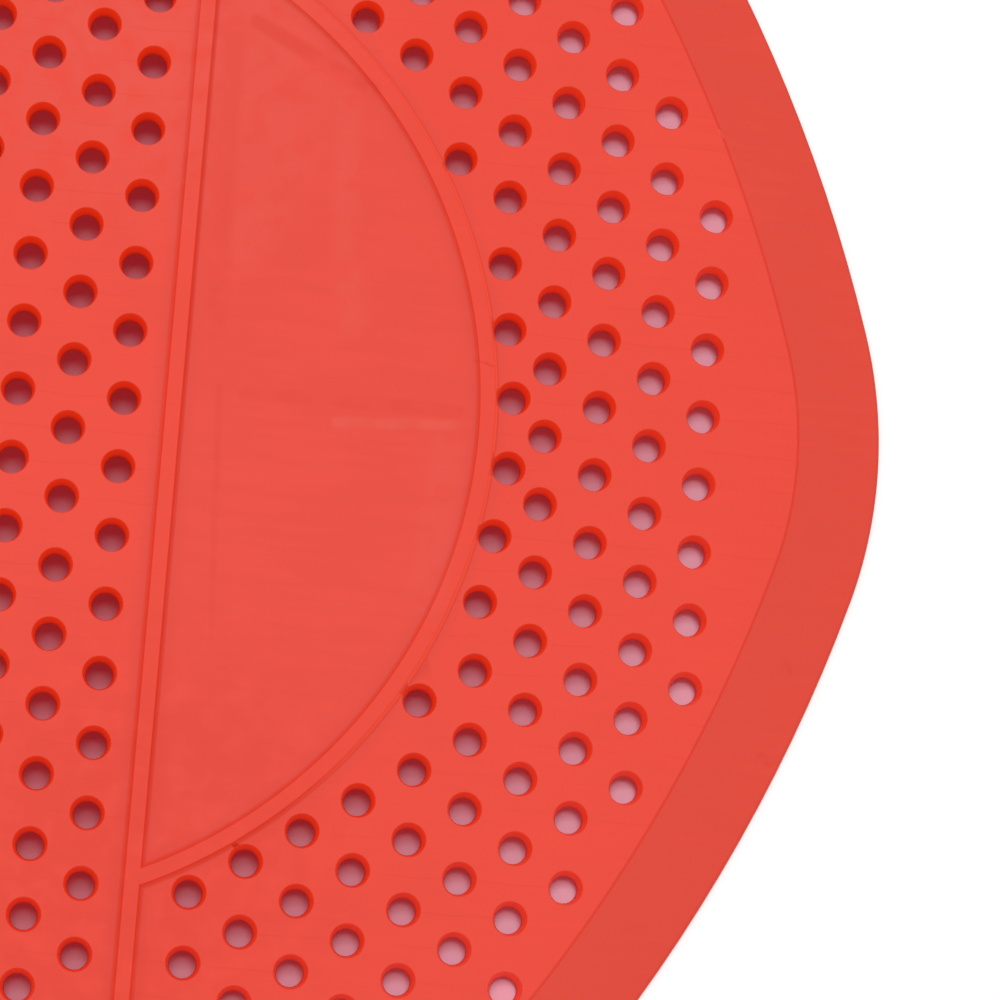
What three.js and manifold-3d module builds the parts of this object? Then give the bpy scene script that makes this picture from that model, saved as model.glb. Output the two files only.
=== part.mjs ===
// Urinal deodorizer screen: one flexible vinyl mat, moulded in one piece.
// It lies on its flat underside (z = 0), +Z up, with the origin under its centre.
// A lobed plate thins towards its edge. Straight and curved ribs frame two blank fields,
// and tapered drain holes fill the rest of the plate in one staggered pattern.

import * as THREE from 'three';
import * as BufferGeometryUtils from 'three/addons/utils/BufferGeometryUtils.js';
import Module from 'manifold-3d';

// Plate and rim, in millimetres
const plateThickness = 2.4;
const edgeThickness = 1.1;
const rimWidth = 8.65;

// Outline: a corner arc and a side arc in turn, each tangent to the next
const midSideReach = 90.3;
const sideArcRadius = 173;
const cornerArcRadius = 48.5;
const sideCornerAngle = THREE.MathUtils.degToRad(51.4);
const cornerArcSteps = 10;
const sideArcSteps = 8;

// Drain holes
const rowPitch = 7;
const columnPitch = 5.33;
const lastColumn = 14;
const holeTopRadius = 1.7;
const holeBottomRadius = 1.33;
const holeFacets = 6;
const holeToRim = 0.7;
const holeToRib = 0.12;

// Ribs
const ribHeight = 0.7;
const ribBaseWidth = 1.8;
const ribTopWidth = 1.4;
const ringRadius = 52.6;
const ringFacets = 96;
const straightRibX = 20.95;
const ribToRim = 1.5;
const ribSink = 0.5;

const colour = 0xe8503f;

const wasm = await Module();
wasm.setup();

// Turns a closed three.js geometry into a solid.
function solidFrom(geometry) {
  const bare = geometry.index ? geometry.toNonIndexed() : geometry.clone();
  bare.deleteAttribute('normal');
  bare.deleteAttribute('uv');
  const merged = BufferGeometryUtils.mergeVertices(bare, 1e-5);
  return new wasm.Manifold(new wasm.Mesh({
    numProp: 3,
    vertProperties: new Float32Array(merged.attributes.position.array),
    triVerts: new Uint32Array(merged.index.array),
  }));
}

// Gives a solid back as a geometry with flat faces.
function geometryFrom(solid) {
  const mesh = solid.getMesh();
  const geometry = new THREE.BufferGeometry();
  geometry.setAttribute('position', new THREE.BufferAttribute(new Float32Array(mesh.vertProperties), 3));
  geometry.setIndex(new THREE.BufferAttribute(new Uint32Array(mesh.triVerts), 1));
  geometry.computeVertexNormals();
  return geometry;
}

// One lobed outline in the first quadrant has two side arcs: a slanted one between the corner
// on the X axis and the corner at sideCornerAngle, and half of a level one that crosses the Y axis.
// The corner arcs stand on centres that one slanted side arc places.
function outlineCentres() {
  const slantAngle = sideCornerAngle / 2;
  const sideSetback = sideArcRadius - midSideReach;
  const slantCentre = new THREE.Vector2(-sideSetback * Math.cos(slantAngle), -sideSetback * Math.sin(slantAngle));
  const span = sideArcRadius - cornerArcRadius;
  const cornerReach = slantCentre.x + Math.sqrt(span ** 2 - slantCentre.y ** 2);
  const firstCorner = new THREE.Vector2(cornerReach, 0);
  const secondCorner = firstCorner.clone().rotateAround(new THREE.Vector2(), sideCornerAngle);
  const levelCentre = new THREE.Vector2(0, secondCorner.y - Math.sqrt(span ** 2 - secondCorner.x ** 2));
  return { slantCentre, firstCorner, secondCorner, levelCentre };
}

const centres = outlineCentres();

// Points of an arc, from one angle to the next, without its last point.
function arcPoints(centre, radius, start, end, steps) {
  const points = [];
  for (let step = 0; step < steps; step += 1) {
    const angle = start + (end - start) * step / steps;
    points.push(new THREE.Vector2(centre.x + radius * Math.cos(angle), centre.y + radius * Math.sin(angle)));
  }
  return points;
}

// The lobed outline, moved inwards by inset, counterclockwise from the X axis.
function lobedOutline(inset) {
  const cornerRadius = cornerArcRadius - inset;
  const sideRadius = sideArcRadius - inset;
  const toFirst = centres.firstCorner.clone().sub(centres.slantCentre).angle();
  const toSecond = centres.secondCorner.clone().sub(centres.slantCentre).angle();
  const toLevel = centres.secondCorner.clone().sub(centres.levelCentre).angle();
  const quarter = [
    ...arcPoints(centres.firstCorner, cornerRadius, 0, toFirst, cornerArcSteps / 2),
    ...arcPoints(centres.slantCentre, sideRadius, toFirst, toSecond, sideArcSteps),
    ...arcPoints(centres.secondCorner, cornerRadius, toSecond, toLevel, cornerArcSteps),
    ...arcPoints(centres.levelCentre, sideRadius, toLevel, Math.PI / 2, sideArcSteps / 2),
    new THREE.Vector2(0, centres.levelCentre.y + sideRadius),
  ];
  const upper = [...quarter, ...quarter.slice(0, -1).reverse().map((p) => new THREE.Vector2(-p.x, p.y))];
  const lower = upper.slice(1, -1).reverse().map((p) => new THREE.Vector2(p.x, -p.y));
  return [...upper, ...lower];
}

// Skins a stack of loops with equal counts, each with its own height, and caps both ends.
function loft(sections) {
  const count = sections[0].loop.length;
  const positions = sections.flatMap(({ loop, z }) => loop.flatMap((p) => [p.x, p.y, z]));
  const indices = [];
  for (let level = 0; level < sections.length - 1; level += 1) {
    for (let i = 0; i < count; i += 1) {
      const next = (i + 1) % count;
      const a = level * count + i;
      const b = level * count + next;
      indices.push(a, b, b + count, a, b + count, a + count);
    }
  }
  const lastLevel = (sections.length - 1) * count;
  const bottomFaces = THREE.ShapeUtils.triangulateShape(sections[0].loop, []);
  const topFaces = THREE.ShapeUtils.triangulateShape(sections[sections.length - 1].loop, []);
  bottomFaces.forEach(([a, b, c]) => indices.push(a, c, b));
  topFaces.forEach(([a, b, c]) => indices.push(lastLevel + a, lastLevel + b, lastLevel + c));
  const geometry = new THREE.BufferGeometry();
  geometry.setAttribute('position', new THREE.Float32BufferAttribute(positions, 3));
  geometry.setIndex(indices);
  return geometry;
}

function plateSolid() {
  return solidFrom(loft([
    { loop: lobedOutline(0), z: 0 },
    { loop: lobedOutline(0), z: edgeThickness },
    { loop: lobedOutline(rimWidth), z: plateThickness },
  ]));
}

// A rib's section stands on the plate: u runs across the rib, v up from the plate's top.
function ribSection(centreU) {
  const base = ribBaseWidth / 2;
  const top = ribTopWidth / 2;
  return [
    new THREE.Vector2(centreU - base, plateThickness - ribSink),
    new THREE.Vector2(centreU + base, plateThickness - ribSink),
    new THREE.Vector2(centreU + base, plateThickness),
    new THREE.Vector2(centreU + top, plateThickness + ribHeight),
    new THREE.Vector2(centreU - top, plateThickness + ribHeight),
    new THREE.Vector2(centreU - base, plateThickness),
  ];
}

// How far from the X axis the rim's inner line lies at a given x.
function rimLineY(x) {
  const loop = lobedOutline(rimWidth);
  let reach = 0;
  loop.forEach((p, i) => {
    const q = loop[(i + 1) % loop.length];
    const crosses = (p.x - x) * (q.x - x) <= 0 && p.x !== q.x;
    if (crosses) {
      reach = Math.max(reach, p.y + (q.y - p.y) * (x - p.x) / (q.x - p.x));
    }
  });
  return reach;
}

function straightRibSolid(x) {
  const length = 2 * (rimLineY(x) - ribToRim);
  const geometry = new THREE.ExtrudeGeometry(new THREE.Shape(ribSection(0)), { depth: length, bevelEnabled: false });
  geometry.rotateX(Math.PI / 2);
  geometry.translate(x, length / 2, 0);
  return solidFrom(geometry);
}

// The curved rib is a full ring, cut away between the two straight ribs.
function curvedRibSolid() {
  const section = ribSection(ringRadius);
  const ring = new THREE.LatheGeometry([...section, section[0]], ringFacets);
  ring.rotateX(Math.PI / 2);
  const band = new THREE.BoxGeometry(2 * straightRibX, 4 * ringRadius, 4 * plateThickness);
  return solidFrom(ring).subtract(solidFrom(band));
}

// A hole's facets keep the open area of the round hole.
function facetedRadius(radius) {
  const sector = 2 * Math.PI / holeFacets;
  return radius * Math.sqrt(sector / Math.sin(sector));
}

function distanceToLoop(point, loop) {
  let nearest = Infinity;
  const onEdge = new THREE.Vector3();
  const spot = new THREE.Vector3(point.x, point.y, 0);
  loop.forEach((p, i) => {
    const q = loop[(i + 1) % loop.length];
    const edge = new THREE.Line3(new THREE.Vector3(p.x, p.y, 0), new THREE.Vector3(q.x, q.y, 0));
    edge.closestPointToPoint(spot, true, onEdge);
    nearest = Math.min(nearest, onEdge.distanceTo(spot));
  });
  return nearest;
}

function isInside(point, loop) {
  let inside = false;
  loop.forEach((p, i) => {
    const q = loop[(i + 1) % loop.length];
    const straddles = (p.y > point.y) !== (q.y > point.y);
    if (straddles && point.x < p.x + (q.x - p.x) * (point.y - p.y) / (q.y - p.y)) {
      inside = !inside;
    }
  });
  return inside;
}

// Where a hole of the staggered pattern goes, or null where a rib, a blank field or the rim is.
// A hole whose rim would touch the curved rib moves outwards until it is clear.
function holeCentre(x, y, rimLine) {
  const centre = new THREE.Vector2(x, y);
  const keepOff = ribBaseWidth / 2 + facetedRadius(holeTopRadius) + holeToRib;
  if (Math.abs(Math.abs(x) - straightRibX) < keepOff) {
    return null;
  }
  const besideBand = Math.abs(x) > straightRibX;
  if (besideBand && centre.length() < ringRadius + ribTopWidth / 2) {
    return null;
  }
  if (besideBand && centre.length() < ringRadius + keepOff) {
    centre.setLength(ringRadius + keepOff);
  }
  const fits = isInside(centre, rimLine) && distanceToLoop(centre, rimLine) >= holeTopRadius + holeToRim;
  return fits ? centre : null;
}

// Odd columns have a hole on the X axis, and even columns are half a pitch off it.
function holeCentres() {
  const rimLine = lobedOutline(rimWidth);
  const rows = Math.ceil(midSideReach / rowPitch);
  const found = [];
  for (let column = -lastColumn; column <= lastColumn; column += 1) {
    const stagger = column % 2 === 0 ? 0.5 : 0;
    for (let row = -rows; row <= rows; row += 1) {
      const centre = holeCentre(column * columnPitch, (row + stagger) * rowPitch, rimLine);
      if (centre) {
        found.push(centre);
      }
    }
  }
  return found;
}

// All the drain holes as one cutter: each is a cone that runs past both faces at its own taper.
function holeCutter() {
  const overrun = 0.5;
  const flare = (holeTopRadius - holeBottomRadius) / plateThickness * overrun;
  const height = plateThickness + 2 * overrun;
  const cones = holeCentres().map((centre) => {
    const cone = new THREE.CylinderGeometry(
      facetedRadius(holeTopRadius + flare),
      facetedRadius(holeBottomRadius - flare),
      height,
      holeFacets,
    );
    cone.rotateX(Math.PI / 2);
    cone.translate(centre.x, centre.y, plateThickness / 2);
    return cone;
  });
  return solidFrom(BufferGeometryUtils.mergeGeometries(cones));
}

function screenMat() {
  const solid = plateSolid()
    .add(curvedRibSolid())
    .add(straightRibSolid(straightRibX))
    .add(straightRibSolid(-straightRibX))
    .subtract(holeCutter());
  const vinyl = new THREE.MeshStandardMaterial({ color: colour, roughness: 0.5, metalness: 0 });
  const mesh = new THREE.Mesh(geometryFrom(solid), vinyl);
  mesh.name = 'screen_mat';
  return mesh;
}

const screen = new THREE.Group();
screen.add(screenMat());

export default screen;
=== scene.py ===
"""Urinal deodorizer screen: the visual model of one moulded red vinyl mat.

The mat lies on its flat underside with its ribbed face up. All lengths are metres, in the frame of
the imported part: X crosses the straight ribs, Y runs along them and Z is up from the underside.
"""

import logging
import math
from dataclasses import dataclass, field
from enum import Enum
from typing import Any, Iterator

import bmesh
import bpy
from mathutils import Matrix, Vector


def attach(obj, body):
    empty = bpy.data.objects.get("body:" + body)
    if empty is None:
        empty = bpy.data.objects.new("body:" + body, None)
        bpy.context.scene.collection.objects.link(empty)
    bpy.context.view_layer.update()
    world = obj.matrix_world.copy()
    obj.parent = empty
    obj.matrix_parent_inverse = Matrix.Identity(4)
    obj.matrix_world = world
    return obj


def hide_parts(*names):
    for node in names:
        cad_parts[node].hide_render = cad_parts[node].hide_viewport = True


MM = 0.001
BOOLEAN_SOLVER = "MANIFOLD"
NUMBER_OPERATIONS = ("LENGTH", "DISTANCE", "DOT_PRODUCT")

Colour = tuple[float, float, float, float]

logging.basicConfig(level=logging.INFO, format="%(levelname)s %(message)s")
log = logging.getLogger("screen")

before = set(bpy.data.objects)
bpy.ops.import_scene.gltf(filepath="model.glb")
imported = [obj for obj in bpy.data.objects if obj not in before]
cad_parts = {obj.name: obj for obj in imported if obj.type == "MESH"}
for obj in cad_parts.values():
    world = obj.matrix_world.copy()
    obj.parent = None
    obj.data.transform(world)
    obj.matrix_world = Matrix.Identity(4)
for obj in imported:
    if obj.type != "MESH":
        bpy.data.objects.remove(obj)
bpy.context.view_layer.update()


class Side(Enum):
    """Which half of the mat a mirrored feature stands on."""

    RIGHT = 1
    LEFT = -1


class Joining(Enum):
    """What a boolean step does with its tool."""

    ADD = "UNION"
    CUT = "DIFFERENCE"


@dataclass(frozen=True)
class Arc:
    """One arc of the lobed outline, from start to end angle about its centre."""

    centre: Vector
    radius: float
    start: float
    end: float

    def holds(self, angle: float) -> bool:
        """Tells whether an angle about the centre falls within the arc."""
        return self.start <= angle <= self.end

    def first_point(self) -> Vector:
        """Returns the point where the arc starts."""
        return self.centre + self.radius * Vector((math.cos(self.start), math.sin(self.start), 0))


@dataclass
class LobedOutline:
    """The six-lobed outline: corner arcs and side arcs in turn, each tangent to the next."""

    mid_side_reach: float = 90.3 * MM
    side_radius: float = 173 * MM
    corner_radius: float = 48.5 * MM
    side_corner_angle: float = math.radians(51.4)
    corner_steps: int = 26
    side_steps: int = 14

    def quarter(self) -> list[tuple[Arc, int]]:
        """Works out the arcs of the first quadrant, counterclockwise from the X axis.

        Returns:
            Each arc with the number of steps that draws it smoothly.
        """
        slant = self.side_corner_angle / 2
        setback = self.side_radius - self.mid_side_reach
        slant_centre = -setback * Vector((math.cos(slant), math.sin(slant), 0))
        span = self.side_radius - self.corner_radius
        reach = slant_centre.x + math.sqrt(span ** 2 - slant_centre.y ** 2)
        first = Vector((reach, 0, 0))
        second = Matrix.Rotation(self.side_corner_angle, 3, "Z") @ first
        level_centre = Vector((0, second.y - math.sqrt(span ** 2 - second.x ** 2), 0))
        to_first = _angle(first - slant_centre)
        to_second = _angle(second - slant_centre)
        to_level = _angle(second - level_centre)
        return [
            (Arc(first, self.corner_radius, 0, to_first), self.corner_steps // 2),
            (Arc(slant_centre, self.side_radius, to_first, to_second), self.side_steps),
            (Arc(second, self.corner_radius, to_second, to_level), self.corner_steps),
            (Arc(level_centre, self.side_radius, to_level, math.pi / 2), self.side_steps // 2),
        ]

    def depth(self, point: Vector) -> float:
        """Measures how far a point lies inside the outline.

        Args:
            point: a point at any height; the outline mirrors about X and Y.

        Returns:
            The distance to the nearest arc, negative outside.
        """
        mirrored = Vector((abs(point.x), abs(point.y), 0))
        depths = []
        for arc, _ in self.quarter():
            reach = mirrored - arc.centre
            if arc.holds(_angle(reach)):
                depths.append(arc.radius - reach.length)
        return min(depths)


@dataclass
class Plate:
    """The flat plate with its rim, which thins towards the edge."""

    outline: LobedOutline = field(default_factory=LobedOutline)
    thickness: float = 2.4 * MM
    edge_thickness: float = 1.1 * MM
    rim_width: float = 8.65 * MM
    edge_round: float = 0.4 * MM
    foot_round: float = 0.15 * MM
    rim_line_round: float = 0.25 * MM

    def build(self) -> bpy.types.Object:
        """Draws the outline, raises it, slopes the rim and rounds its edges.

        Returns:
            The plate as a closed mesh object, without holes.
        """
        shape = bmesh.new()
        self._draw_outline(shape)
        floor_face = bmesh.ops.contextual_create(shape, geom=shape.edges[:])["faces"][0]
        raised = bmesh.ops.extrude_face_region(shape, geom=[floor_face])["geom"]
        top = next(f for f in raised if isinstance(f, bmesh.types.BMFace))
        lift = Vector((0, 0, self.edge_thickness))
        bmesh.ops.translate(shape, verts=top.verts[:], vec=lift)
        bmesh.ops.recalc_face_normals(shape, faces=shape.faces[:])
        rise = self.thickness - self.edge_thickness
        bmesh.ops.inset_region(shape, faces=[top], thickness=self.rim_width, depth=rise, use_even_offset=True)
        self._round(shape, self.thickness, self.rim_line_round, 2)
        self._round(shape, self.edge_thickness, self.edge_round, 4)
        self._round(shape, 0, self.foot_round, 2)
        return _object_from(shape, "plate")

    def _draw_outline(self, shape: bmesh.types.BMesh) -> None:
        """Draws the outline on the floor plane by turning a vertex about each arc's centre."""
        for arc, steps in self.outline.quarter():
            start = bmesh.ops.create_vert(shape, co=arc.first_point())["vert"]
            bmesh.ops.spin(
                shape, geom=start, cent=arc.centre, axis=(0, 0, 1), angle=arc.end - arc.start, steps=steps
            )
        for axis in ("X", "Y"):
            bmesh.ops.mirror(shape, geom=shape.verts[:] + shape.edges[:], axis=axis, merge_dist=1e-6)
        bmesh.ops.remove_doubles(shape, verts=shape.verts[:], dist=2e-6)

    def _round(self, shape: bmesh.types.BMesh, height: float, radius: float, steps: int) -> None:
        """Rounds the loop of edges that lies at a height."""
        tolerance = 1e-6
        loop = [e for e in shape.edges if all(abs(v.co.z - height) < tolerance for v in e.verts)]
        bmesh.ops.bevel(
            shape, geom=loop, offset=radius, offset_type="OFFSET", segments=steps, profile=0.5,
            affect="EDGES", material=-1,
        )


@dataclass
class Ribs:
    """The two straight ribs and the two curved ones that frame the blank fields."""

    height: float = 0.7 * MM
    base_width: float = 1.76 * MM
    top_width: float = 1.5 * MM
    sink: float = 0.5 * MM
    crown_round: float = 0.06 * MM
    field_root: float = 0.05 * MM
    outer_root: float = 0.25 * MM
    ring_radius: float = 52.6 * MM
    ring_steps: int = 240
    straight_x: float = 20.95 * MM
    end_gap: float = 1.5 * MM

    def _section(self, shape: bmesh.types.BMesh, plate_top: float, outward: int) -> list[bmesh.types.BMFace]:
        """Draws a rib's section in the XZ plane, centred on the Z axis, with rounded corners.

        Args:
            shape: the empty mesh that takes the section.
            plate_top: the height of the face that the rib stands on.
            outward: 1 where X points away from the blank field, -1 where it points into it.

        Returns:
            The section's one face.
        """
        base, top = self.base_width / 2, self.top_width / 2
        skirt = base + 1.5 * self.outer_root
        tuck = 0.01 * MM
        foot = plate_top - tuck
        crown = plate_top + self.height
        half = [(skirt, plate_top - self.sink), (skirt, foot), (base, foot), (top, crown)]
        outline = half + [(-x, z) for x, z in reversed(half)]
        corners = [bmesh.ops.create_vert(shape, co=(x * outward, 0, z))["vert"][0] for x, z in outline]
        bmesh.ops.contextual_create(shape, geom=corners)
        rounds = (
            (self.crown_round, corners[3:5]),
            (self.outer_root, corners[2:3]),
            (self.field_root, corners[5:6]),
        )
        for radius, spots in rounds:
            bmesh.ops.bevel(
                shape, geom=spots, offset=radius, offset_type="OFFSET", segments=4, profile=0.5,
                affect="VERTICES", material=-1,
            )
        return shape.faces[:]

    def straight(self, side: Side, plate: Plate) -> bpy.types.Object:
        """Extrudes one straight rib along Y, from rim to rim."""
        shape = bmesh.new()
        section = self._section(shape, plate.thickness, -side.value)
        reach = self._end_of_straight(plate)
        grown = bmesh.ops.extrude_face_region(shape, geom=section)["geom"]
        moved = [v for v in grown if isinstance(v, bmesh.types.BMVert)]
        bmesh.ops.translate(shape, verts=moved, vec=(0, 2 * reach, 0))
        bmesh.ops.translate(shape, verts=shape.verts[:], vec=(side.value * self.straight_x, -reach, 0))
        bmesh.ops.recalc_face_normals(shape, faces=shape.faces[:])
        return _object_from(shape, f"straight_rib_{side.name.lower()}")

    def _end_of_straight(self, plate: Plate) -> float:
        """Steps along Y until the rim's inner line is as near as the end gap."""
        step = 0.05 * MM
        reach = self.ring_radius
        while plate.outline.depth(Vector((self.straight_x, reach, 0))) > plate.rim_width + self.end_gap:
            reach += step
        return reach

    def curved(self, side: Side, plate: Plate) -> bpy.types.Object:
        """Turns the section about Z, from inside one end of the straight rib to inside the other."""
        shape = bmesh.new()
        section = self._section(shape, plate.thickness, 1)
        bmesh.ops.translate(shape, verts=shape.verts[:], vec=(self.ring_radius, 0, 0))
        half_sweep = math.acos(self.straight_x / self.ring_radius)
        turn = Matrix.Rotation(-half_sweep, 3, "Z")
        bmesh.ops.rotate(shape, verts=shape.verts[:], matrix=turn, cent=(0, 0, 0))
        bmesh.ops.spin(
            shape, geom=section, cent=(0, 0, 0), axis=(0, 0, 1), angle=2 * half_sweep, steps=self.ring_steps
        )
        if side is Side.LEFT:
            flip = Matrix.Rotation(math.pi, 3, "Z")
            bmesh.ops.rotate(shape, verts=shape.verts[:], matrix=flip, cent=(0, 0, 0))
        bmesh.ops.remove_doubles(shape, verts=shape.verts[:], dist=1e-7)
        bmesh.ops.recalc_face_normals(shape, faces=shape.faces[:])
        return _object_from(shape, f"curved_rib_{side.name.lower()}")


@dataclass
class DrainHoles:
    """The staggered pattern of tapered drain holes."""

    row_pitch: float = 7 * MM
    column_pitch: float = 5.33 * MM
    last_column: int = 14
    top_radius: float = 1.7 * MM
    bottom_radius: float = 1.33 * MM
    lip_round: float = 0.1 * MM
    to_rim: float = 0.7 * MM
    to_rib: float = 0.12 * MM
    steps: int = 24
    lip_steps: int = 3

    def centres(self, plate: Plate, ribs: Ribs) -> Iterator[Vector]:
        """Walks the pattern and leaves out what a rib, a blank field or the rim covers.

        Args:
            plate: gives the outline and the rim's width.
            ribs: give the lines and the ring that the holes keep clear of.

        Yields:
            The centre of each hole on the floor plane.
        """
        keep_off = ribs.base_width / 2 + self.top_radius + self.to_rib
        rows = math.ceil(plate.outline.mid_side_reach / self.row_pitch)
        for column in range(-self.last_column, self.last_column + 1):
            stagger = 0.5 if column % 2 == 0 else 0
            x = column * self.column_pitch
            if abs(abs(x) - ribs.straight_x) < keep_off:
                continue
            for row in range(-rows, rows + 1):
                centre = Vector((x, (row + stagger) * self.row_pitch, 0))
                beside_band = abs(x) > ribs.straight_x
                if beside_band and centre.length < ribs.ring_radius + ribs.top_width / 2:
                    continue
                if beside_band and centre.length < ribs.ring_radius + keep_off:
                    centre.length = ribs.ring_radius + keep_off
                if self._clears_rim(centre, plate, ribs):
                    yield centre

    def _clears_rim(self, centre: Vector, plate: Plate, ribs: Ribs) -> bool:
        """Tells whether a hole stays within the rim's inner line, as all holes inside the ring do."""
        if centre.length < ribs.ring_radius:
            return True
        return plate.outline.depth(centre) >= plate.rim_width + self.top_radius + self.to_rim

    def cutters(self, plate: Plate, ribs: Ribs) -> bpy.types.Object:
        """Spins one cutter with rounded lips and copies it to every hole.

        Returns:
            All the cutters as one object of separate closed solids.
        """
        shape = bmesh.new()
        first = self._profile(shape, plate.thickness)
        bmesh.ops.spin(
            shape, geom=first, cent=(0, 0, 0), axis=(0, 0, 1), angle=2 * math.pi, steps=self.steps,
            use_merge=True,
        )
        bmesh.ops.remove_doubles(shape, verts=shape.verts[:], dist=1e-7)
        bmesh.ops.recalc_face_normals(shape, faces=shape.faces[:])
        pattern = shape.verts[:] + shape.edges[:] + shape.faces[:]
        centres = list(self.centres(plate, ribs))
        for centre in centres:
            copy = bmesh.ops.duplicate(shape, geom=pattern)["geom"]
            moved = [v for v in copy if isinstance(v, bmesh.types.BMVert)]
            bmesh.ops.translate(shape, verts=moved, vec=centre)
        bmesh.ops.delete(shape, geom=pattern, context="VERTS")
        log.info("drain holes: %d", len(centres))
        return _object_from(shape, "hole_cutters")

    def _profile(self, shape: bmesh.types.BMesh, thickness: float) -> list[Any]:
        """Draws half of the cutter's section, from the axis below the plate to the axis above it."""
        over = 0.5 * MM
        lip = self.lip_round
        points = [(0, -over), (self.bottom_radius + lip, -over), (self.bottom_radius + lip, 0)]
        points += [(self.bottom_radius, lip), (self.top_radius, thickness - lip)]
        for step in range(1, self.lip_steps + 1):
            turn = math.pi / 2 * step / self.lip_steps
            outward = lip * (1 - math.cos(turn))
            upward = lip * math.sin(turn)
            points.append((self.top_radius + outward, thickness - lip + upward))
        points += [(self.top_radius + lip, thickness + over), (0, thickness + over)]
        spots = [bmesh.ops.create_vert(shape, co=(x, 0, z))["vert"][0] for x, z in points]
        edges = []
        for a, b in zip(spots, spots[1:]):
            edges += bmesh.ops.contextual_create(shape, geom=[a, b])["edges"]
        return spots + edges


@dataclass
class Sketch:
    """A thin layer over a material's node tree, so that patterns read as formulas."""

    tree: bpy.types.NodeTree

    def node(self, kind: str, **settings: Any) -> bpy.types.Node:
        """Adds a node and sets its properties."""
        made = self.tree.nodes.new(kind)
        for name, value in settings.items():
            setattr(made, name, value)
        return made

    def feed(self, socket: bpy.types.NodeSocket, value: Any) -> None:
        """Links a socket to an input, or sets its plain value."""
        if isinstance(value, bpy.types.NodeSocket):
            self.tree.links.new(value, socket)
        else:
            socket.default_value = value

    def math(self, operation: str, *values: Any, clamp: bool = False) -> bpy.types.NodeSocket:
        """Adds a Math node.

        Args:
            operation: the Math node's operation.
            values: sockets or numbers for its inputs.
            clamp: keeps the result between 0 and 1.

        Returns:
            The result's socket.
        """
        made = self.node("ShaderNodeMath", operation=operation, use_clamp=clamp)
        for socket, value in zip(made.inputs, values):
            self.feed(socket, value)
        return made.outputs[0]

    def fade(
        self, value: Any, start: float, end: float, low: float = 0.0, high: float = 1.0
    ) -> bpy.types.NodeSocket:
        """Maps a value smoothly, so that start gives low and end gives high.

        Args:
            value: a socket.
            start: the value that gives low. It may lie above end.
            end: the value that gives high.
            low: the result at start.
            high: the result at end.

        Returns:
            The result's socket.
        """
        made = self.node("ShaderNodeMapRange", interpolation_type="SMOOTHSTEP")
        numbers = {"Value": value, "From Min": start, "From Max": end, "To Min": low, "To Max": high}
        for name, number in numbers.items():
            self.feed(made.inputs[name], number)
        return made.outputs["Result"]

    def noise(self, place: Any, scale: float, detail: float = 3.0) -> bpy.types.NodeSocket:
        """Adds a Noise Texture on a place vector."""
        made = self.node("ShaderNodeTexNoise")
        self.feed(made.inputs["Vector"], place)
        made.inputs["Scale"].default_value = scale
        made.inputs["Detail"].default_value = detail
        return made.outputs["Fac"]

    def vector(self, operation: str, *values: Any) -> bpy.types.NodeSocket:
        """Adds a Vector Math node and returns its vector, or the number for operations that give one."""
        made = self.node("ShaderNodeVectorMath", operation=operation)
        for socket, value in zip(made.inputs, values):
            self.feed(socket, value)
        gives_number = operation in NUMBER_OPERATIONS
        return made.outputs["Value" if gives_number else "Vector"]

    def join(self, x: Any, y: Any, z: Any) -> bpy.types.NodeSocket:
        """Joins three numbers into a vector."""
        made = self.node("ShaderNodeCombineXYZ")
        for socket, value in zip(made.inputs, (x, y, z)):
            self.feed(socket, value)
        return made.outputs[0]

    def dim(self, colour: Any, value: Any) -> bpy.types.NodeSocket:
        """Scales a colour's brightness."""
        made = self.node("ShaderNodeHueSaturation")
        self.feed(made.inputs["Color"], colour)
        self.feed(made.inputs["Value"], value)
        return made.outputs["Color"]

    def mix(self, factor: Any, first: Any, second: Any) -> bpy.types.NodeSocket:
        """Mixes two colours."""
        made = self.node("ShaderNodeMix", data_type="RGBA")
        self.feed(made.inputs[0], factor)
        self.feed(made.inputs[6], first)
        self.feed(made.inputs[7], second)
        return made.outputs[2]


@dataclass(frozen=True)
class Spot:
    """The sockets that tell a pattern where on the moulding it is."""

    place: bpy.types.NodeSocket
    x: bpy.types.NodeSocket
    y: bpy.types.NodeSocket
    z: bpy.types.NodeSocket
    radius: bpy.types.NodeSocket
    facing_up: bpy.types.NodeSocket

    @classmethod
    def of(cls, sketch: Sketch) -> "Spot":
        """Adds the nodes that read the place and the normal in Object coordinates."""
        source = sketch.node("ShaderNodeTexCoord").outputs
        place = sketch.node("ShaderNodeSeparateXYZ")
        sketch.feed(place.inputs[0], source["Object"])
        normal = sketch.node("ShaderNodeSeparateXYZ")
        sketch.feed(normal.inputs[0], source["Normal"])
        x, y, z = place.outputs
        radius = sketch.vector("LENGTH", sketch.join(x, y, 0))
        return cls(source["Object"], x, y, z, radius, normal.outputs["Z"])


@dataclass(frozen=True)
class Mark:
    """One faint straight mark on the top, from start to end in plan, in millimetres."""

    start: tuple[float, float]
    end: tuple[float, float]
    width: float
    blur: float
    strength: float

    def mask(self, sketch: Sketch, plan: bpy.types.NodeSocket) -> bpy.types.NodeSocket:
        """Fades from the mark's strength on its line to nothing beside it.

        Args:
            sketch: the node tree that takes the mark.
            plan: the place in millimetres, with no height.

        Returns:
            The socket of the mark's mask.
        """
        start = Vector((*self.start, 0))
        along = Vector((*self.end, 0)) - start
        offset = sketch.vector("SUBTRACT", plan, start)
        shadow = sketch.vector("DOT_PRODUCT", offset, along)
        share = sketch.math("MULTIPLY", shadow, 1 / along.length_squared, clamp=True)
        nearest = sketch.vector("MULTIPLY", sketch.join(share, share, share), along)
        reach = sketch.vector("DISTANCE", offset, nearest)
        return sketch.fade(reach, self.width / 2 + self.blur, self.width / 2, 0.0, self.strength)


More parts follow.
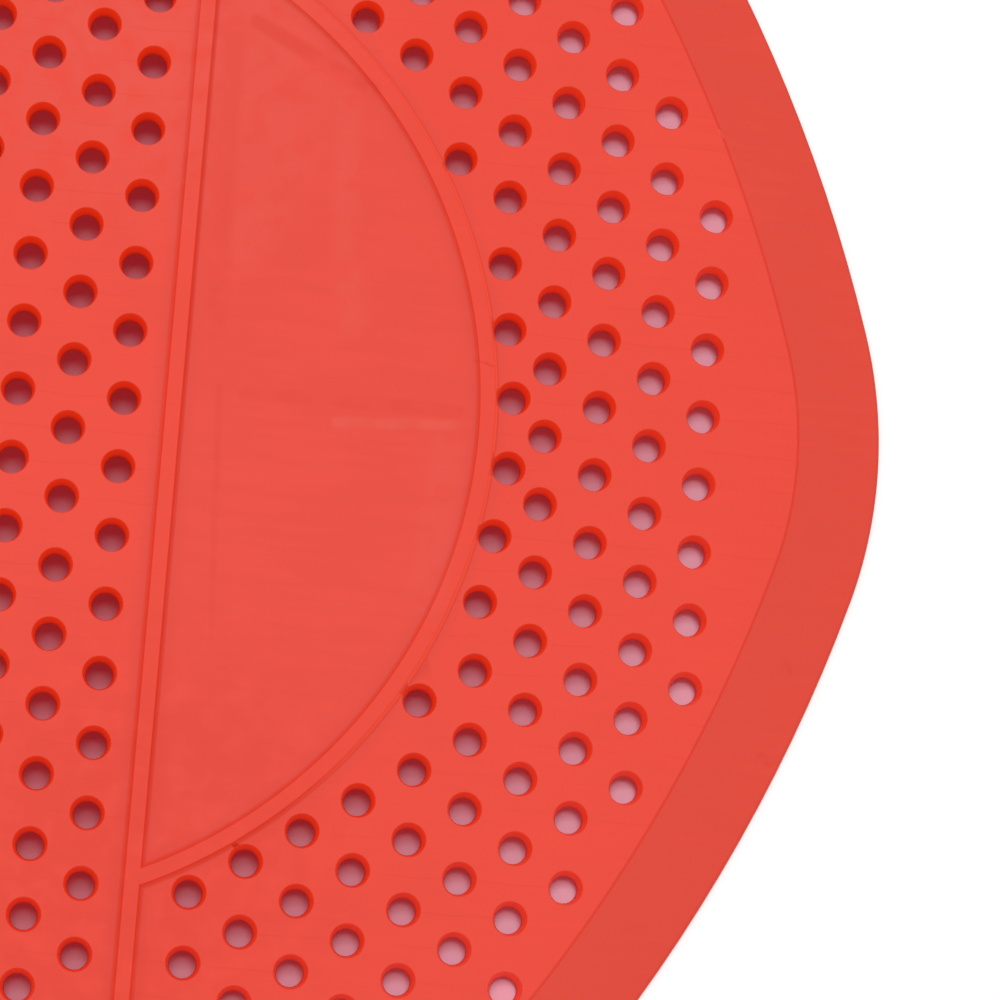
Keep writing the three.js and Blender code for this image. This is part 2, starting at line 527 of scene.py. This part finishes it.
PALE_MARKS = (
    # the first, broad bloom is a painted reflection; the smaller marks after it are narrow pale streaks and
    # specks
    Mark((6.0, 80.0), (16.0, 40.0), 12.0, 26.0, 0.6),
    Mark((36.2, 33.6), (36.3, 22.5), 0.5, 2.4, 0.50),
    Mark((36.3, 22.5), (38.2, 10.1), 0.5, 2.4, 0.40),
    Mark((37.5, -0.5), (50.5, 0.3), 0.6, 0.5, 0.75),
    Mark((28.4, 30.1), (30.1, 25.6), 3.0, 3.5, 0.40),
    Mark((28.5, 20.7), (26.7, 17.4), 2.5, 3.0, 0.40),
    Mark((49.1, -2.3), (47.8, -17.8), 1.4, 2.6, 0.35),
    Mark((19.95, 22.9), (20.0, 22.6), 0.12, 0.12, 1.0),
    Mark((74.3, 33.6), (74.8, 33.0), 0.12, 0.15, 0.9),
    Mark((27.35, 21.9), (27.4, 21.8), 0.15, 0.12, 1.0),
)
DARK_MARKS = (
    # the first, broad bloom is painted shade; the smaller marks after it are narrow dark lines and specks
    Mark((8.0, -75.0), (22.0, -42.0), 10.0, 26.0, 0.45),
    Mark((28.0, 1.6), (49.8, 1.7), 0.8, 0.6, 0.35),
    Mark((26.1, 40.3), (38.4, 34.2), 0.7, 0.9, 0.60),
    Mark((24.0, 38.0), (24.4, 8.0), 0.8, 1.4, 0.40),
    Mark((25.4, 2.0), (26.7, -23.7), 0.3, 0.4, 0.35),
    Mark((50.9, 7.1), (52.8, 6.6), 0.10, 0.15, 1.0),
    Mark((82.8, -30.6), (83.7, -31.1), 0.35, 0.5, 0.9),
    Mark((84.8, -20.7), (85.2, -21.9), 0.20, 0.4, 0.7),
)


@dataclass(frozen=True)
class VinylFinish:
    """Satin red vinyl, deeper in tone inside the holes and on the ribs, with painted shade on the sloping
    rim, beside the ribs and at the foot of the hole walls, a painted glow on the hole walls and painted light
    on the outer side of the curved ribs.
    """

    body: Colour = (0.86, 0.053, 0.026, 1)
    blank_field: Colour = (0.832, 0.056, 0.031, 1)
    crown: Colour = (0.86, 0.050, 0.022, 1)
    # painted shade: the sloping rim is coloured darker than the flat top
    rim: Colour = (0.785, 0.064, 0.038, 1)
    pale: Colour = (0.83, 0.080, 0.055, 1)
    dark: Colour = (0.76, 0.036, 0.014, 1)
    # painted shade beside the ribs
    shade: Colour = (0.74, 0.054, 0.032, 1)
    shade_reach: float = 2.8 * MM
    shade_strength: float = 0.75
    # painted light on the outer side of the curved ribs
    lit_outer_side: Colour = (1.0, 0.088, 0.048, 1)
    lit_outer_blur: float = 0.05 * MM
    lit_outer_slope: tuple[float, float] = (0.98, 0.85)
    lit_outer_end: tuple[float, float] = (-44 * MM, -30 * MM)
    # hole walls: painted shade towards their foot and a painted glow
    wall: Colour = (0.97, 0.050, 0.005, 1)
    shaded_wall_foot: Colour = (0.55, 0.020, 0.008, 1)
    painted_wall_glow: float = 0.16
    roughness: float = 0.50
    specular: float = 0.22
    blotch_scale: float = 90.0
    blotch_depth: float = 0.025
    blotch_range: tuple[float, float] = (0.3, 0.7)
    streak_scale: tuple[float, float, float] = (110.0, 900.0, 110.0)
    weld_width: float = 0.16 * MM
    weld_strength: float = 0.28
    weld_drift: float = 0.35
    weld_range: tuple[float, float] = (0.42, 0.6)
    wander_scale: float = 150.0
    break_scale: float = 350.0
    break_range: tuple[float, float] = (0.25, 0.6)
    field_blur: float = 0.3 * MM
    level_blur: float = 0.05 * MM
    crown_depth: float = 0.2 * MM
    level: float = 0.997
    sloped: float = 0.992
    # limits of the painted shadow line along the rim's crease
    bend_start: tuple[float, float] = (0.9999, 0.9985)
    bend_end: tuple[float, float] = (0.991, 0.995)
    steep: tuple[float, float] = (0.75, 0.45)
    grain_scale: float = 2600.0
    grain_height: float = 0.01 * MM

    def material(self, name: str, mat: "ScreenMat") -> bpy.types.Material:
        """Builds the vinyl material.

        Args:
            name: the material's name.
            mat: gives the heights, lines and pitches that the tones follow.

        Returns:
            A node material on Object coordinates.
        """
        made = bpy.data.materials.new(name)
        made.use_nodes = True
        made.cycles.emission_sampling = "NONE"
        sketch = Sketch(made.node_tree)
        shader = made.node_tree.nodes["Principled BSDF"]
        spot = Spot.of(sketch)
        inside = self._inside_holes(sketch, spot, mat.plate)
        blank = self._blank_fields(sketch, spot, mat.ribs)
        colour = self._tones(sketch, spot, blank, mat)
        colour = self._shade_beside_ribs(sketch, spot, colour, mat)
        colour = self._paint_lit_outer_side(sketch, spot, colour, mat)
        colour = self._marks_and_painted_sheen(sketch, spot, colour)
        colour = self._welds(sketch, spot, colour, blank, mat.holes)
        # painted shade: the hole walls darken towards their foot
        wall = sketch.mix(sketch.fade(spot.z, 0, mat.plate.thickness / 2), self.shaded_wall_foot, self.wall)
        sketch.feed(shader.inputs["Base Color"], sketch.mix(inside, colour, wall))
        shader.inputs["Roughness"].default_value = self.roughness
        shader.inputs["Specular IOR Level"].default_value = self.specular
        # painted glow on the hole and edge walls
        sketch.feed(shader.inputs["Emission Color"], wall)
        glow = sketch.math("MULTIPLY", inside, self.painted_wall_glow)
        sketch.feed(shader.inputs["Emission Strength"], glow)
        bump = sketch.node("ShaderNodeBump")
        bump.inputs["Distance"].default_value = self.grain_height
        sketch.feed(bump.inputs["Height"], sketch.noise(spot.place, self.grain_scale, 2.0))
        sketch.feed(shader.inputs["Normal"], bump.outputs["Normal"])
        return made

    def _inside_holes(self, sketch: Sketch, spot: Spot, plate: Plate) -> bpy.types.NodeSocket:
        """Masks the steep walls of the holes and of the outer edge, which get a painted glow for the light
        that the vinyl lets through.
        """
        steep = sketch.fade(sketch.math("ABSOLUTE", spot.facing_up), *self.steep)
        return sketch.math("MULTIPLY", steep, self._on_plate(sketch, spot, plate))

    def _on_plate(self, sketch: Sketch, spot: Spot, plate: Plate) -> bpy.types.NodeSocket:
        """Masks all that lies no higher than the plate's top face."""
        return sketch.fade(spot.z, plate.thickness + self.level_blur, plate.thickness)

    def _blank_fields(self, sketch: Sketch, spot: Spot, ribs: Ribs) -> bpy.types.NodeSocket:
        """Masks the two blank fields, inside the ring and beside the straight ribs."""
        soft = self.field_blur
        within = sketch.fade(spot.radius, ribs.ring_radius + soft, ribs.ring_radius - soft)
        beside = sketch.fade(sketch.math("ABSOLUTE", spot.x), ribs.straight_x - soft, ribs.straight_x + soft)
        return sketch.math("MULTIPLY", within, beside)

    def _tones(self, sketch: Sketch, spot: Spot, blank: Any, mat: "ScreenMat") -> bpy.types.NodeSocket:
        """Sets the blank fields and the rib tops a shade apart, paints shade on the sloping rim and a thin
        painted shadow along its crease, and blotches the whole.
        """
        colour = sketch.mix(blank, self.body, self.blank_field)
        top = mat.plate.thickness + mat.ribs.height
        crown = sketch.fade(spot.z, top - self.crown_depth, top - self.level_blur)
        colour = sketch.mix(crown, colour, self.crown)
        on_plate = self._on_plate(sketch, spot, mat.plate)
        # painted shade on the sloping rim
        sloped = sketch.fade(spot.facing_up, self.level, self.sloped)
        colour = sketch.mix(sketch.math("MULTIPLY", sloped, on_plate), colour, self.rim)
        # painted shadow: a thin dark line along the rim's crease
        off_level = sketch.fade(spot.facing_up, *self.bend_start)
        off_slope = sketch.fade(spot.facing_up, *self.bend_end)
        crease_shade = sketch.math("MULTIPLY", off_level, off_slope)
        colour = sketch.mix(sketch.math("MULTIPLY", crease_shade, on_plate), colour, self.dark)
        blotch = sketch.noise(spot.place, self.blotch_scale, 3.0)
        streaks = sketch.noise(sketch.vector("MULTIPLY", spot.place, Vector(self.streak_scale)), 1.0, 3.0)
        uneven = sketch.math("MULTIPLY", sketch.math("ADD", blotch, streaks), 0.5)
        low, high = 1 - self.blotch_depth, 1 + self.blotch_depth
        brightness = sketch.fade(uneven, *self.blotch_range, low, high)
        return sketch.dim(colour, brightness)

    def _shade_beside_ribs(
        self, sketch: Sketch, spot: Spot, colour: Any, mat: "ScreenMat"
    ) -> bpy.types.NodeSocket:
        """Paints soft shade on the plate beside the ribs, darkest at their feet."""
        ribs = mat.ribs
        across = sketch.math("ABSOLUTE", spot.x)
        to_straight = sketch.math("ABSOLUTE", sketch.math("SUBTRACT", across, ribs.straight_x))
        to_ring = sketch.math("ABSOLUTE", sketch.math("SUBTRACT", spot.radius, ribs.ring_radius))
        in_band = sketch.math("LESS_THAN", across, ribs.straight_x)
        nearest = sketch.math("MINIMUM", to_straight, sketch.math("ADD", to_ring, in_band))
        beside = sketch.fade(nearest, self.shade_reach, ribs.top_width / 2, 0.0, self.shade_strength)
        low = sketch.fade(spot.z, mat.plate.thickness + self.crown_depth, mat.plate.thickness)
        return sketch.mix(sketch.math("MULTIPLY", beside, low), colour, self.shade)

    def _paint_lit_outer_side(self, sketch: Sketch, spot: Spot, colour: Any, mat: "ScreenMat") -> bpy.types.NodeSocket:
        """Paints light on the outer side of the curved ribs, all along but at their lower end."""
        crown_edge = mat.ribs.ring_radius + mat.ribs.top_width / 2
        outside = sketch.fade(spot.radius, crown_edge - self.lit_outer_blur, crown_edge)
        sloped = sketch.fade(spot.facing_up, *self.lit_outer_slope)
        foot = mat.plate.thickness
        raised = sketch.fade(spot.z, foot, foot + self.lit_outer_blur)
        along = sketch.fade(spot.y, *self.lit_outer_end)
        place = sketch.math("MULTIPLY", sketch.math("MULTIPLY", outside, sloped), raised)
        return sketch.mix(sketch.math("MULTIPLY", place, along), colour, self.lit_outer_side)

    def _marks_and_painted_sheen(self, sketch: Sketch, spot: Spot, colour: Any) -> bpy.types.NodeSocket:
        """Lays the pale and dark marks on the top, broken up a little along their length: narrow streaks and
        specks, with a broad pale bloom that is a painted reflection and a broad dark bloom that is painted
        shade.
        """
        plan = sketch.vector("MULTIPLY", spot.place, Vector((1 / MM, 1 / MM, 0)))
        broken = sketch.fade(sketch.noise(spot.place, self.break_scale, 2.0), *self.break_range)
        for marks, tone in ((PALE_MARKS, self.pale), (DARK_MARKS, self.dark)):
            mask: Any = 0.0
            for mark in marks:
                mask = sketch.math("MAXIMUM", mask, mark.mask(sketch, plan))
            colour = sketch.mix(sketch.math("MULTIPLY", mask, broken), colour, tone)
        return colour

    def _welds(
        self, sketch: Sketch, spot: Spot, colour: Any, blank: Any, holes: DrainHoles
    ) -> bpy.types.NodeSocket:
        """Draws the faint lines where the vinyl met again between the holes of each row."""
        wander = sketch.noise(spot.place, self.wander_scale, 2.0)
        drift = sketch.math("MULTIPLY", sketch.math("SUBTRACT", wander, 0.5), self.weld_drift)
        rows = sketch.math("DIVIDE", spot.y, holes.row_pitch / 2)
        from_row = sketch.math("PINGPONG", sketch.math("ADD", rows, drift), 0.5)
        edge = self.weld_width / holes.row_pitch
        line = sketch.fade(from_row, 2 * edge, 0.4 * edge, 0.0, self.weld_strength)
        level = sketch.fade(spot.facing_up, self.sloped, self.level)
        patchy = sketch.math("MULTIPLY", level, sketch.fade(wander, *self.weld_range))
        masks = sketch.math("MULTIPLY", patchy, sketch.math("SUBTRACT", 1.0, blank))
        return sketch.mix(sketch.math("MULTIPLY", line, masks), colour, self.dark)


@dataclass
class ScreenMat:
    """The whole mat: plate, ribs and holes, joined into one moulding and dressed."""

    plate: Plate = field(default_factory=Plate)
    ribs: Ribs = field(default_factory=Ribs)
    holes: DrainHoles = field(default_factory=DrainHoles)
    finish: VinylFinish = field(default_factory=VinylFinish)
    crease_angle: float = math.radians(82)
    flat_face_weight: int = 90

    def build(self) -> bpy.types.Object:
        """Joins the ribs to the plate, cuts the holes and shades the result smoothly.

        Returns:
            The finished piece at the origin.
        """
        body = self.plate.build()
        for side in Side:
            _combine(body, self.ribs.straight(side, self.plate), Joining.ADD)
            _combine(body, self.ribs.curved(side, self.plate), Joining.ADD)
        _combine(body, self.holes.cutters(self.plate, self.ribs), Joining.CUT)
        body.name = body.data.name = "vinyl_screen"
        self._shade(body)
        body.data.materials.clear()
        body.data.materials.append(self.finish.material("red_vinyl", self))
        return body

    def _shade(self, body: bpy.types.Object) -> None:
        """Shades smoothly up to the crease angle, and keeps the flat faces flat by weighted normals."""
        body.data.shade_smooth()
        body.data.set_sharp_from_angle(angle=self.crease_angle)
        weights = body.modifiers.new("flat_faces", "WEIGHTED_NORMAL")
        weights.mode = "FACE_AREA"
        weights.weight = self.flat_face_weight
        weights.keep_sharp = True
        _bake_modifiers(body)


@dataclass
class Studio:
    """A white floor, soft light from above and behind, and the camera."""

    floor_size: float = 4.0
    floor_gap: float = 0.02 * MM
    foot_azimuth: float = math.radians(-115.93)
    tilt: float = math.radians(11.63)
    roll: float = math.radians(30.62)
    distance: float = 0.46703
    aim: tuple[float, float, float] = (54.55 * MM, -6.95 * MM, 2.4 * MM)
    lens: float = 166.6
    sensor_width: float = 36.0
    dish_reach: float = 84.5 * MM
    dish_flat_reach: float = 98 * MM
    dish_depth: float = 5.0 * MM
    dish_hub: float = 1.0 * MM
    dish_steps: int = 96
    dish_rim: tuple[float, float] = (83.5 * MM, 86.0 * MM)
    dish_rings: int = 12
    paper: Colour = (0.8, 0.8, 0.8, 1)
    open_glow: Colour = (0.29, 0.29, 0.29, 1)
    # painted shade and a painted red tint and glow on the floor under the mat
    shaded_reach: float = 50.7 * MM
    shaded_paper: Colour = (0.40, 0.22, 0.26, 1)
    covered_paper: Colour = (0.68, 0.52, 0.64, 1)
    covered_glow: Colour = (0.24, 0.006, 0.010, 1)
    world_strength: float = 0.52
    key_power: float = 10.1
    key_size: float = 0.5
    key_place: tuple[float, float, float] = (-0.03, 0.22, 1.45)

    def build(self) -> None:
        """Makes the floor, the lights and the camera."""
        self._floor()
        self._world()
        self._key()
        self._camera()

    def _floor(self) -> None:
        """Lays a white floor that sinks a little under the mat, as if the mat arched off it."""
        shape = bmesh.new()
        bmesh.ops.create_circle(shape, cap_ends=False, segments=self.dish_steps, radius=self.dish_reach)
        ring = shape.edges[:]
        outer = bmesh.ops.extrude_edge_only(shape, edges=ring)["geom"]
        spread = [v for v in outer if isinstance(v, bmesh.types.BMVert)]
        growth = self.floor_size / 2 / self.dish_reach
        bmesh.ops.scale(shape, verts=spread, vec=(growth, growth, 1))
        reach = self.dish_reach
        for step in range(1, self.dish_rings + 1):
            grown = bmesh.ops.extrude_edge_only(shape, edges=ring)["geom"]
            ring = [e for e in grown if isinstance(e, bmesh.types.BMEdge)]
            loop = [v for v in grown if isinstance(v, bmesh.types.BMVert)]
            inner = self.dish_reach + (self.dish_hub - self.dish_reach) * step / self.dish_rings
            bmesh.ops.scale(shape, verts=loop, vec=(inner / reach, inner / reach, 1))
            reach = inner
            for vert in loop:
                vert.co.z = -self.dish_depth * (1 - (reach / self.dish_flat_reach) ** 2)
        bmesh.ops.contextual_create(shape, geom=ring)
        bmesh.ops.translate(shape, verts=shape.verts[:], vec=(0, 0, -self.floor_gap))
        bmesh.ops.recalc_face_normals(shape, faces=shape.faces[:])
        floor = _object_from(shape, "floor")
        floor.data.materials.append(self._floor_material())

    def _floor_material(self) -> bpy.types.Material:
        """Builds the floor's white; under the mat it gets painted shade towards the middle and a painted red
        tint and glow for the light that the vinyl lets through.
        """
        made = bpy.data.materials.new("white_floor")
        made.use_nodes = True
        made.cycles.emission_sampling = "NONE"
        sketch = Sketch(made.node_tree)
        made.node_tree.nodes.clear()
        out = sketch.node("ShaderNodeOutputMaterial")
        place = sketch.node("ShaderNodeTexCoord").outputs["Object"]
        reach = sketch.vector("LENGTH", place)
        outside = sketch.fade(reach, *self.dish_rim)
        paper = sketch.node("ShaderNodeBsdfDiffuse")
        near_edge = sketch.fade(reach, self.shaded_reach, self.dish_reach)
        covered = sketch.mix(near_edge, self.shaded_paper, self.covered_paper)
        sketch.feed(paper.inputs["Color"], sketch.mix(outside, covered, self.paper))
        rays = sketch.node("ShaderNodeLightPath").outputs
        seen = sketch.math("ADD", rays["Is Camera Ray"], rays["Is Glossy Ray"], clamp=True)
        seen = sketch.math("ADD", seen, rays["Is Transmission Ray"], clamp=True)
        glow = sketch.node("ShaderNodeEmission")
        sketch.feed(glow.inputs["Color"], sketch.mix(outside, self.covered_glow, self.open_glow))
        sketch.feed(glow.inputs["Strength"], seen)
        both = sketch.node("ShaderNodeAddShader")
        sketch.feed(both.inputs[0], paper.outputs[0])
        sketch.feed(both.inputs[1], glow.outputs[0])
        sketch.feed(out.inputs["Surface"], both.outputs[0])
        return made

    def _world(self) -> None:
        """Sets an even, faint fill light."""
        world = bpy.data.worlds.new("studio")
        world.use_nodes = True
        background = world.node_tree.nodes["Background"]
        background.inputs["Color"].default_value = (1, 1, 1, 1)
        background.inputs["Strength"].default_value = self.world_strength
        bpy.context.scene.world = world

    def _key(self) -> None:
        """Hangs one large soft light over the far side of the mat."""
        data = bpy.data.lights.new("key", "AREA")
        data.energy = self.key_power
        data.size = self.key_size
        lamp = bpy.data.objects.new("key", data)
        lamp.location = self.key_place
        lamp.rotation_euler = Vector(self.key_place).to_track_quat("Z", "Y").to_euler()
        bpy.context.scene.collection.objects.link(lamp)

    def _camera(self) -> None:
        """Places the camera above the mat, looking down at a slight tilt."""
        data = bpy.data.cameras.new("camera")
        data.lens = self.lens
        data.sensor_width = self.sensor_width
        data.clip_start = 0.01
        camera = bpy.data.objects.new("camera", data)
        spin = Matrix.Rotation(self.foot_azimuth + math.pi / 2, 4, "Z")
        turn = spin @ Matrix.Rotation(self.tilt, 4, "X") @ Matrix.Rotation(self.roll, 4, "Z")
        back = turn.to_3x3() @ Vector((0, 0, 1))
        camera.matrix_world = Matrix.Translation(Vector(self.aim) + back * self.distance) @ turn
        bpy.context.scene.collection.objects.link(camera)
        bpy.context.scene.camera = camera


def _angle(direction: Vector) -> float:
    """Returns a direction's angle about Z, counterclockwise from X."""
    return math.atan2(direction.y, direction.x)


def _object_from(shape: bmesh.types.BMesh, name: str) -> bpy.types.Object:
    """Turns a finished bmesh into an object at the origin and frees it."""
    mesh = bpy.data.meshes.new(name)
    shape.to_mesh(mesh)
    shape.free()
    made = bpy.data.objects.new(name, mesh)
    bpy.context.scene.collection.objects.link(made)
    return made


def _bake_modifiers(piece: bpy.types.Object) -> None:
    """Replaces a piece's mesh by the result of its modifiers."""
    graph = bpy.context.evaluated_depsgraph_get()
    graph.update()
    result = bpy.data.meshes.new_from_object(piece.evaluated_get(graph), depsgraph=graph)
    piece.modifiers.clear()
    piece.data = result


def _combine(body: bpy.types.Object, tool: bpy.types.Object, joining: Joining) -> None:
    """Joins or cuts the body with a tool, which is then removed.

    Args:
        body: the piece that changes, a closed mesh.
        tool: a closed mesh.
        joining: whether the tool is added or cut away.
    """
    step = body.modifiers.new(joining.name.lower(), "BOOLEAN")
    step.operation = joining.value
    step.solver = BOOLEAN_SOLVER
    step.object = tool
    _bake_modifiers(body)
    bpy.data.objects.remove(tool)


def main() -> None:
    """Builds the mat and its studio."""
    studio = Studio()
    studio.build()
    mat = ScreenMat().build()
    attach(mat, "root")
    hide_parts("screen_mat")
    log.info("%s: %d faces", mat.name, len(mat.data.polygons))
    bpy.context.scene.view_settings.view_transform = "Standard"


if __name__ == "__main__":
    main()
